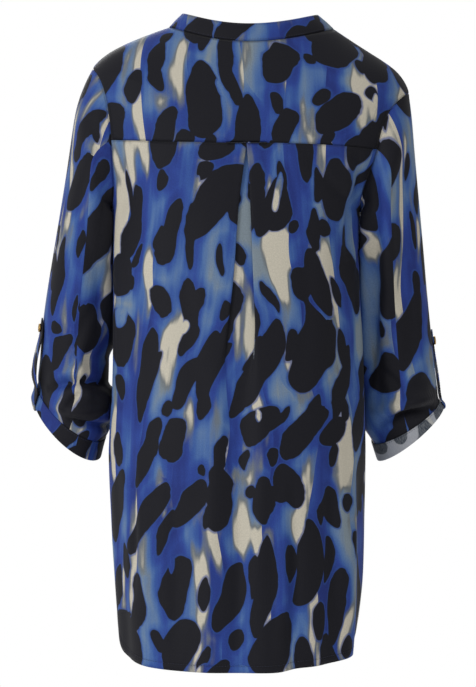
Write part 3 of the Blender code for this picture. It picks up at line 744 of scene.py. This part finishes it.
RIGHT_ARM_FOLDS = table(
    FOLD,
    (-193, -120, -188, -330, 8, -3.0, 6),
    (-176, -140, -170, -300, 9, 1.5, -4),
    (-206, -200, -200, -400, 9, -1.6, 5),
    (-162, -300, -186, -420, 8, -2.0, 5),
    (-224, -330, -206, -430, 8, -1.6, -4),
    (-158, -190, -157, -440, 7, -8.0, 2),
    (-173, -190, -173, -430, 8, 2.5, 2),
    (-168, -472, -232, -456, 8, 9.0, 2),
    (-170, -486, -230, -470, 4.5, -12.0, 2),
    (-168, -420, -194, -458, 5, -4.0, 4),
    (-206, -330, -190, -440, 8, -2.2, 5),
    (-236, -420, -196, -446, 6, -1.8, 4),
)
print(len(BACK_FOLDS + FRONT_FOLDS + LEFT_ARM_FOLDS + RIGHT_ARM_FOLDS), "folds listed")

# %% [markdown]
# ## A smooth, even mesh
# A fold can only be as fine as the grid that it moves. The solids' grid is coarse and its faces
# are long, so the long edges are halved first, and Subdivision then rounds the piece off and
# divides each face into 16 or 64. The result is made a plain mesh, so that its points can be moved.

# %% Make and refine a piece
def new_piece(shape, name):
    """The shape as a new object."""
    mesh = bpy.data.meshes.new(name)
    shape.to_mesh(mesh)
    shape.free()
    piece = bpy.data.objects.new(name, mesh)
    bpy.context.scene.collection.objects.link(piece)
    return piece


def refine(piece, levels):
    """Rounds a piece off and makes it a plain mesh again."""
    smooth = piece.modifiers.new("Round", "SUBSURF")
    smooth.levels = smooth.render_levels = levels
    smooth.boundary_smooth = "PRESERVE_CORNERS"
    ready = piece.evaluated_get(bpy.context.evaluated_depsgraph_get())
    mesh = bpy.data.meshes.new_from_object(ready)
    piece.modifiers.clear()
    old, piece.data = piece.data, mesh
    bpy.data.meshes.remove(old)


def cut_long_edges(shape, longest):
    """Halves the edges that are longer than a length, so that the grid is nearly square."""
    long_ones = [edge for edge in shape.edges if edge.calc_length() > longest]
    if long_ones:
        bmesh.ops.subdivide_edges(shape, edges=long_ones, cuts=1, use_grid_fill=True)


# %% [markdown]
# ## The pleat's folded edges
# The pleat under the yoke is pressed, and its two edges read as thin dark lines down the back.
# They are listed as x and z in millimetres, seen from behind, and dropped onto the back. They are
# then treated as seams, so they get the same shallow valley, and the folds stay off them.

# %% Find the pleat's edges
PLEAT_EDGES = (
    ((8.6, -179), (12.2, -213), (15.9, -250), (18.3, -299), (20.8, -335), (25.7, -366), (31.8, -421)),
    ((-1.2, -170), (-3.7, -219), (-4.9, -237), (-7.3, -311), (-8.6, -347)),
)


def pleat_pairs(tree):
    """The pleat's two folded edges, dropped onto the back from behind, as pairs of places."""
    pairs = []
    for line in PLEAT_EDGES:
        starts = [Vector((x * MM, VIEWED_FROM, z * MM)) for x, z in line]
        hits = [tree.ray_cast(start, Vector((0, -1, 0)))[0] for start in starts]
        pairs += zip(hits, hits[1:])
    return pairs


# %% [markdown]
# ## Sleeves beside the body
# A hanging arm presses its sleeve against the side of the body, so hardly any light comes through
# between them. The solids keep a small gap there. From each point of the sleeve that faces the
# body, a ray finds how much room is left, and the point moves over by that much, times a share
# that is given by height. A share below zero moves it the other way, where the photo shows light.

# %% Lean a sleeve on the body
FACES_BODY = (1 / 7, 6 / 7)
LEAN_REACH = 22 * MM
LEAN_FADE = 0.4 * LEAN_REACH
LEAN_GAP = 2 * MM
LEAN_AWAY = 9 * MM


def lean(points, normals, body, sign, stops):
    """Moves the side of a sleeve that faces the body: till it rests there, or off it below zero."""
    heights, shares = zip(*stops)
    rest = np.interp(points[:, 2], heights, shares)
    rest *= np.interp(-sign * normals[:, 0], FACES_BODY, (0, 1))
    points[:, 0] -= sign * np.minimum(rest, 0) * LEAN_AWAY
    way = Vector((-sign, 0, 0))
    for k in np.nonzero(rest > 0)[0]:
        rooms = [tree.ray_cast(Vector(points[k]), way, LEAN_REACH)[3] for tree in body]
        room = max(0.0, min((room for room in rooms if room), default=LEAN_REACH) - LEAN_GAP)
        points[k, 0] -= sign * rest[k] * room * np.interp(room, (LEAN_FADE, LEAN_REACH), (1, 0))


# %% [markdown]
# ## One function for every cloth piece
# The order matters. The coarse grid is laid flat first, while it is cheap. Subdivision then
# rounds it and carries the flat shape along. Folds and waves move the fine points, and fade out
# near each seam so that neighbours still meet. Solidify comes last and grows inward, so that the
# outer face keeps the size of the solid.

# %% Dress one piece
SEAM_CALM = 14 * MM
CALM_POWER = 1.5
HEM_TOP = -0.45
CLOTH_SHOWN = 0.7 * MM
NARROW = 0.5
made = {}
stitch_lines = {}


def dress(
    name, toward, shift, levels, folds=(), tube=False, hem=False, waves=1.0, longest=1.0,
    thick=CLOTH_SHOWN, finish=PRINT, calm=SEAM_CALM, leaning=None, stitch=None,
):
    """Turns one node into a finished sheet, and keeps it with its flat size and area."""
    shape = outer_face(name, toward)
    cut_long_edges(shape, longest)
    if tube:
        cut_tube(shape)
    piece = new_piece(shape, name + "_cloth")
    size, area = lay_flat(piece, shift)
    refine(piece, levels)
    mesh = piece.data
    shape = bmesh.new()
    shape.from_mesh(mesh)
    sewn, loose = [
        [[vert.co.copy() for vert in edge.verts] for edge in kind] for kind in sort_border(shape, name)
    ]
    border = sum(edge.calc_length() for edge in shape.edges if edge.is_boundary)
    shape.free()
    if area < NARROW * size[0] * size[1]:
        size = straight_band(area, border, tube)
    tree = tree_of(mesh)
    seam = store_distance(mesh, "seam", sewn + (pleat_pairs(tree) if name == "back" else []))
    hemmed = [pair for pair in loose if hem and pair[0].z < HEM_TOP]
    store_distance(mesh, "hem", hemmed)
    # The stitches follow the smooth piece's edges too, so this is measured before the folds move it.
    edges, inset = stitch or ("none", 0)
    off_edge = distances(mesh, (hemmed if hem else loose) + (sewn if edges == "all" else []))
    points = np.array([vert.co for vert in mesh.vertices])
    normals = np.array([vert.normal for vert in mesh.vertices])
    steady = np.clip(seam / calm, 0, 1) ** CALM_POWER if calm else np.ones(len(points))
    moves = undulation(points) * waves
    for side, listed in folds:
        moves += fold_moves(points, tree, listed, side)
    points += normals * (moves * steady)[:, None]
    if leaning:
        lean(points, normals, *leaning)
    mesh.vertices.foreach_set("co", points.ravel())
    mesh.update()
    if stitch:
        stitch_lines[name] = level_lines(mesh, off_edge, inset)
    turn_in(mesh, name)
    mesh.shade_smooth()
    mesh.materials.append(finish)
    mesh.materials.append(WRONG if finish is PRINT else PRINT)
    wall = piece.modifiers.new("Thickness", "SOLIDIFY")
    wall.thickness = thick
    wall.offset = -1.0
    wall.material_offset = 1
    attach(piece, "root")
    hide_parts(name)
    wide, long = size[0] / MM, size[1] / MM
    print(f"{name}: {len(mesh.polygons)} faces, flat {wide:.0f} x {long:.0f} mm, {area:.4f} m2")
    made[name] = piece, size, area


# %% [markdown]
# ## Body
# The back and the front end in a shirt-tail hem, sewn about a centimetre up. The yoke lies firm
# across the shoulders, so it waves less. The collar is a band of doubled, stiffened cloth: it is
# thicker, and stitched near all its edges. The pair after each piece's direction says which part
# of the endless print it is cut from.

# %% Dress the body
BACKWARD, FORWARD = (0, 1, 0), (0, -1, 0)
LONGEST_EDGE = 26 * MM
HEM_STITCH = ("open", HEM_STITCHES)
dress(
    "back", BACKWARD, (0.0, 0.0), 2, [(1, BACK_FOLDS)], hem=True, longest=LONGEST_EDGE,
    stitch=HEM_STITCH,
)
dress("back_yoke", BACKWARD, (3.1, 0.9), 2, [(1, BACK_FOLDS)], waves=0.5)
dress(
    "front", FORWARD, (5.1, 0.7), 2, [(-1, FRONT_FOLDS)], hem=True, longest=LONGEST_EDGE,
    stitch=HEM_STITCH,
)
dress(
    "collar", BACKWARD, (8.3, 0.5), 2, waves=0.3, thick=1.6 * MM, calm=6 * MM, stitch=("all", 2 * MM),
)

# %% [markdown]
# ## Arms
# The stops give, by height in metres, how closely each sleeve rests on the body: the left one
# stands off for a few centimetres below the elbow. The sleeves are rolled, and the right cuff
# shows the wrong side of the cloth. The strips that edge the neck slit are made here too, because
# they also come in pairs.

# %% Dress the sleeves, cuffs, tabs and neck strips
NARROW_STITCH = ("open", 1.8 * MM)
LEANS = {
    "left": (
        (-0.492, 0), (-0.484, 1), (-0.454, 1), (-0.438, -1), (-0.404, -1),
        (-0.376, 0.4), (-0.350, 1), (-0.226, 1), (-0.210, 0),
    ),
    "right": ((-0.515, 0), (-0.495, 1), (-0.226, 1), (-0.210, 0)),
}
BODY_TREES = [tree_of(made[name][0].data) for name in ("back", "front")]
SIDES = (("left", 1, LEFT_ARM_FOLDS, PRINT), ("right", -1, RIGHT_ARM_FOLDS, WRONG))
for side, sign, arm_folds, cuff_finish in SIDES:
    outward = (sign, 0, 0)
    dress(
        "placket_" + side, FORWARD, (9.0, sign * 0.3), 2, waves=0.4, calm=0, stitch=NARROW_STITCH,
    )
    dress(
        "sleeve_" + side, outward, (11.0 + sign, 0.3), 3, [(1, arm_folds)], tube=True, calm=4 * MM,
        leaning=(BODY_TREES, sign, LEANS[side]),
    )
    dress(
        "cuff_" + side, outward, (14.0 + sign, 0.45), 3, [(1, arm_folds)], tube=True, calm=0,
        finish=cuff_finish, stitch=NARROW_STITCH,
    )
    dress(
        "tab_" + side, outward, (17.3 + sign, 0.6), 2, waves=0.0, thick=1.2 * MM, calm=0,
        stitch=NARROW_STITCH,
    )

# %% [markdown]
# ## What each sheet is
# Each sheet is kept with how large its cloth is when it lies flat, which is measured above. No flat
# piece can have more cloth than its width times its length.

# %% Count the sheets
print(len(made), "sheets stated")

# %% [markdown]
# ## Stitches
# Each stitch is a tight little loop of thread that sinks in at both ends, so a stretched
# icosphere half buried in the cloth is enough. All the stitches of one piece are one mesh. A
# cuff's lower edge lies in the roll, so only its upper line is sewn.

# %% Sew along the lines
PITCH = 3.3 * MM
STITCH = Vector((1.3, 0.26, 0.20)) * MM
TWIST_BAND = 2.54 * MM
# Slanting bands add up all three axes, each at half the rate, so their scale is another sum.
TWIST_SCALE = 2 * WAVE / (math.sqrt(3) * TWIST_BAND)


def thread_finish():
    """Dark navy thread, with painted sheen where its twisted strands turn to light, stitch by stitch."""
    material, add, shader = start_material("spun polyester sewing thread, twisted", Roughness=0.62)
    place = add("TexCoord", out="Object")
    twist_bump_and_painted_sheen = add("TexWave", place, bands_direction="DIAGONAL", Scale=TWIST_SCALE, out="Fac")
    # Painted sheen: the bands make the colour lighter where the thread would catch the light, and the
    # same bands bump it.
    colour = add("ValToRGB", twist_bump_and_painted_sheen, stops=((0.2, "#14151f"), (0.8, "#272b45")))
    bump = add("Bump", Height=twist_bump_and_painted_sheen, Strength=0.5, Distance=0.05 * MM)
    plug(shader, Base_Color=colour, Normal=bump)
    return material


def sew(name, lines, finish):
    """Rows of stitches, one every few millimetres, along lines on the cloth."""
    shape = bmesh.new()
    count = 0
    for line in lines:
        walked = 0.0
        for (start, up), (end, _) in zip(line, line[1:]):
            step = end - start
            if step.length < 1e-7:
                continue
            while walked < step.length:
                along = step.normalized()
                across = up.cross(along).normalized()
                turn = Matrix((along, across, along.cross(across))).transposed().to_4x4()
                place = Matrix.Translation(start + along * walked) @ turn
                place = place @ Matrix.Diagonal((*STITCH, 1))
                bmesh.ops.create_icosphere(shape, subdivisions=1, radius=1.0, matrix=place)
                walked += PITCH
                count += 1
            walked -= step.length
    piece = new_piece(shape, name)
    piece.data.shade_smooth()
    piece.data.materials.append(finish)
    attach(piece, "root")
    print(f"{name}: {count} stitches")


def mean_height(line):
    """How high a line lies."""
    return sum(place.z for place, _ in line) / len(line)


NAVY_THREAD = thread_finish()
for name, lines in stitch_lines.items():
    if name.startswith("cuff"):
        lines = [max(lines, key=mean_height)]
    sew(name + "_stitches", lines, NAVY_THREAD)

# %% [markdown]
# ## Buttons
# Each button is a stamped metal disc, 11 mm across: a bright gilt rim round a dark, slightly
# domed face. Its half outline is drawn once, in millimetres, and spun round the axis. The faces
# inside the rim get the dark enamel. Where a button stands and which way it faces come from its
# solid: a disc is thinnest along its axis.

# %% Turn the buttons
RIM_CENTRE, RIM_HEIGHT, RIM_RADIUS = 4.65, 1.65, 0.85
FACE_RADIUS, FACE_HEIGHT, FACE_DROP = 3.6, 1.75, 0.35
DOME_STEPS, RIM_STEPS = 6, 10
BACK_EDGE = [(5.4, 0.5), (5.0, 0.05), (3.0, 0.0), (0.0, 0.0)]
ENAMEL_RADIUS = 3.75 * MM
ENAMEL_ABOVE = 1.0 * MM
SPIN_STEPS = 56
RUBBED_PATCH, ENAMEL_FLOW = 1.6 * MM, 1.1 * MM


def button_outline():
    """Radius and height in millimetres, from the middle of the face to the middle of the back."""
    shares = [k / DOME_STEPS for k in range(DOME_STEPS + 1)]
    dome = [(FACE_RADIUS * s, FACE_HEIGHT - FACE_DROP * s ** 2) for s in shares]
    turns = [math.radians(200 - 220 * k / RIM_STEPS) for k in range(RIM_STEPS + 1)]
    rim = [
        (RIM_CENTRE + RIM_RADIUS * math.cos(turn), RIM_HEIGHT + RIM_RADIUS * math.sin(turn))
        for turn in turns
    ]
    return dome + rim + BACK_EDGE


def metal_finish():
    """Gilt brass: paler and rougher in the patches where fingers rub it."""
    material, add, shader = start_material("brass, stamped and gilt", Metallic=1.0)
    place = add("TexCoord", out="Object")
    rubbed = add("TexNoise", place, Scale=1 / RUBBED_PATCH, Detail=3.0)
    colour = add("ValToRGB", rubbed, stops=((0.35, "#8a6a35"), (0.65, "#cfae70")))
    rough = add("Math", rubbed, 0.3, 0.12, operation="MULTIPLY_ADD")
    plug(shader, Base_Color=colour, Roughness=rough)
    return material


def enamel_finish():
    """Near-black enamel, a little uneven, so that its gloss wavers."""
    material, add, shader = start_material("black enamel, fired", Roughness=0.22)
    place = add("TexCoord", out="Object")
    flow = add("TexNoise", place, Scale=1 / ENAMEL_FLOW, Detail=1.0)
    colour = add("ValToRGB", flow, stops=((0.3, "#121216"), (0.7, "#22222a")))
    bump = add("Bump", Height=flow, Strength=0.4, Distance=0.08 * MM)
    plug(shader, Base_Color=colour, Normal=bump)
    return material


def seat_of(node, outward):
    """Where a disc-shaped node stands, as a matrix whose Z axis points out of its face."""
    points = np.array([vert.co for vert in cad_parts[node].data.vertices])
    middle = (points.max(axis=0) + points.min(axis=0)) / 2
    axis = Vector(np.linalg.svd(points - points.mean(axis=0))[2][2])
    axis = axis if axis.x * outward > 0 else -axis
    low = ((points - middle) @ np.array(axis)).min()
    turn = axis.to_track_quat("Z", "Y").to_matrix().to_4x4()
    return Matrix.Translation(Vector(middle) + axis * low) @ turn


GILT, ENAMEL = metal_finish(), enamel_finish()
for side, sign, *_ in SIDES:
    shape = bmesh.new()
    points = [shape.verts.new((radius * MM, 0, height * MM)) for radius, height in button_outline()]
    lines = [shape.edges.new(pair) for pair in zip(points, points[1:])]
    bmesh.ops.spin(
        shape, geom=points + lines, cent=(0, 0, 0), axis=(0, 0, 1), dvec=(0, 0, 0), angle=math.tau,
        steps=SPIN_STEPS, use_merge=True, use_duplicate=False,
    )
    bmesh.ops.remove_doubles(shape, verts=shape.verts, dist=SAME_PLACE)
    bmesh.ops.recalc_face_normals(shape, faces=shape.faces)
    for face in shape.faces:
        middle = face.calc_center_median()
        face.smooth = True
        inside_rim = math.hypot(middle.x, middle.y) < ENAMEL_RADIUS
        face.material_index = int(inside_rim and middle.z > ENAMEL_ABOVE)
    button = new_piece(shape, f"button_{side}_turned")
    button.data.transform(seat_of("button_" + side, sign))
    button.data.materials.append(GILT)
    button.data.materials.append(ENAMEL)
    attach(button, "root")
    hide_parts("button_" + side)
    print(f"{button.name}: {len(button.data.polygons)} faces")

# %% [markdown]
# ## Floor and light
# A plain pale floor lies where the wearer's feet would be. Its paint is matte, so no lamp leaves
# a bright spot on it. The surround looks white to the camera, but its light on the cloth falls off
# towards the floor and the right, so that the undersides of folds go dark. Large soft lamps add to
# that: the brightest stands behind the blouse, to the left.

# %% Build the floor
FLOOR_LEVEL = -1.45
FLOOR_RADIUS = 5.2

floor_mesh = bpy.data.meshes.new("floor")
shape = bmesh.new()
bmesh.ops.create_circle(shape, cap_ends=True, segments=96, radius=FLOOR_RADIUS)
shape.to_mesh(floor_mesh)
shape.free()
floor = bpy.data.objects.new("floor", floor_mesh)
floor.data.transform(Matrix.Translation((0, 0, FLOOR_LEVEL)))
bpy.context.scene.collection.objects.link(floor)
paint, *_ = start_material("matte pale paint", Roughness=0.9, Base_Color=linear("#f4f4f3"))
floor.data.materials.append(paint)
print(f"floor {2 * FLOOR_RADIUS:.1f} m across, {-FLOOR_LEVEL:.2f} m below the shoulders")

# %% Light the surround
LIT_FROM = (0.45, 0.20, 0.87)
DARK_SIDE, LIT_SIDE = -0.7, 0.9
DIMMEST, BRIGHTEST = 0.28, 0.77

world = bpy.data.worlds.new("soft white surround")
world.use_nodes = True
surround = world.node_tree.nodes["Background"]
surround.inputs["Color"].default_value = (1, 1, 1, 1)
add = partial(add_node, world.node_tree)
toward = add("VectorMath", add("TexCoord"), LIT_FROM, operation="DOT_PRODUCT")
light = add(
    "MapRange", toward, DARK_SIDE, LIT_SIDE, DIMMEST, BRIGHTEST, interpolation_type="SMOOTHSTEP",
)
seen = add("LightPath", out="Is Camera Ray")
plug(surround, Strength=add("Math", seen, light, operation="MAXIMUM"))
bpy.context.scene.world = world
print(f"surround from {DIMMEST} to {BRIGHTEST}, and 1 where the camera sees it")

# %% Hang the lamps
BLOUSE_MIDDLE = Vector((0, 0, -0.4))
LAMPS = table(
    "x y z size power",
    (2.9, 2.9, 0.6, 1.3, 54),
    (-2.0, 3.2, 0.4, 1.8, 4),
    (0.6, -3.2, 0.9, 2.0, 44),
)
for index, lamp in enumerate(LAMPS):
    light = bpy.data.lights.new(f"softbox_{index}", "AREA")
    light.shape = "DISK"
    light.size = lamp["size"]
    light.energy = lamp["power"]
    softbox = bpy.data.objects.new(light.name, light)
    softbox.location = (lamp["x"], lamp["y"], lamp["z"])
    aim = BLOUSE_MIDDLE - softbox.location
    softbox.rotation_euler = aim.to_track_quat("-Z", "Y").to_euler()
    bpy.context.scene.collection.objects.link(softbox)
print(len(LAMPS), "soft lamps")
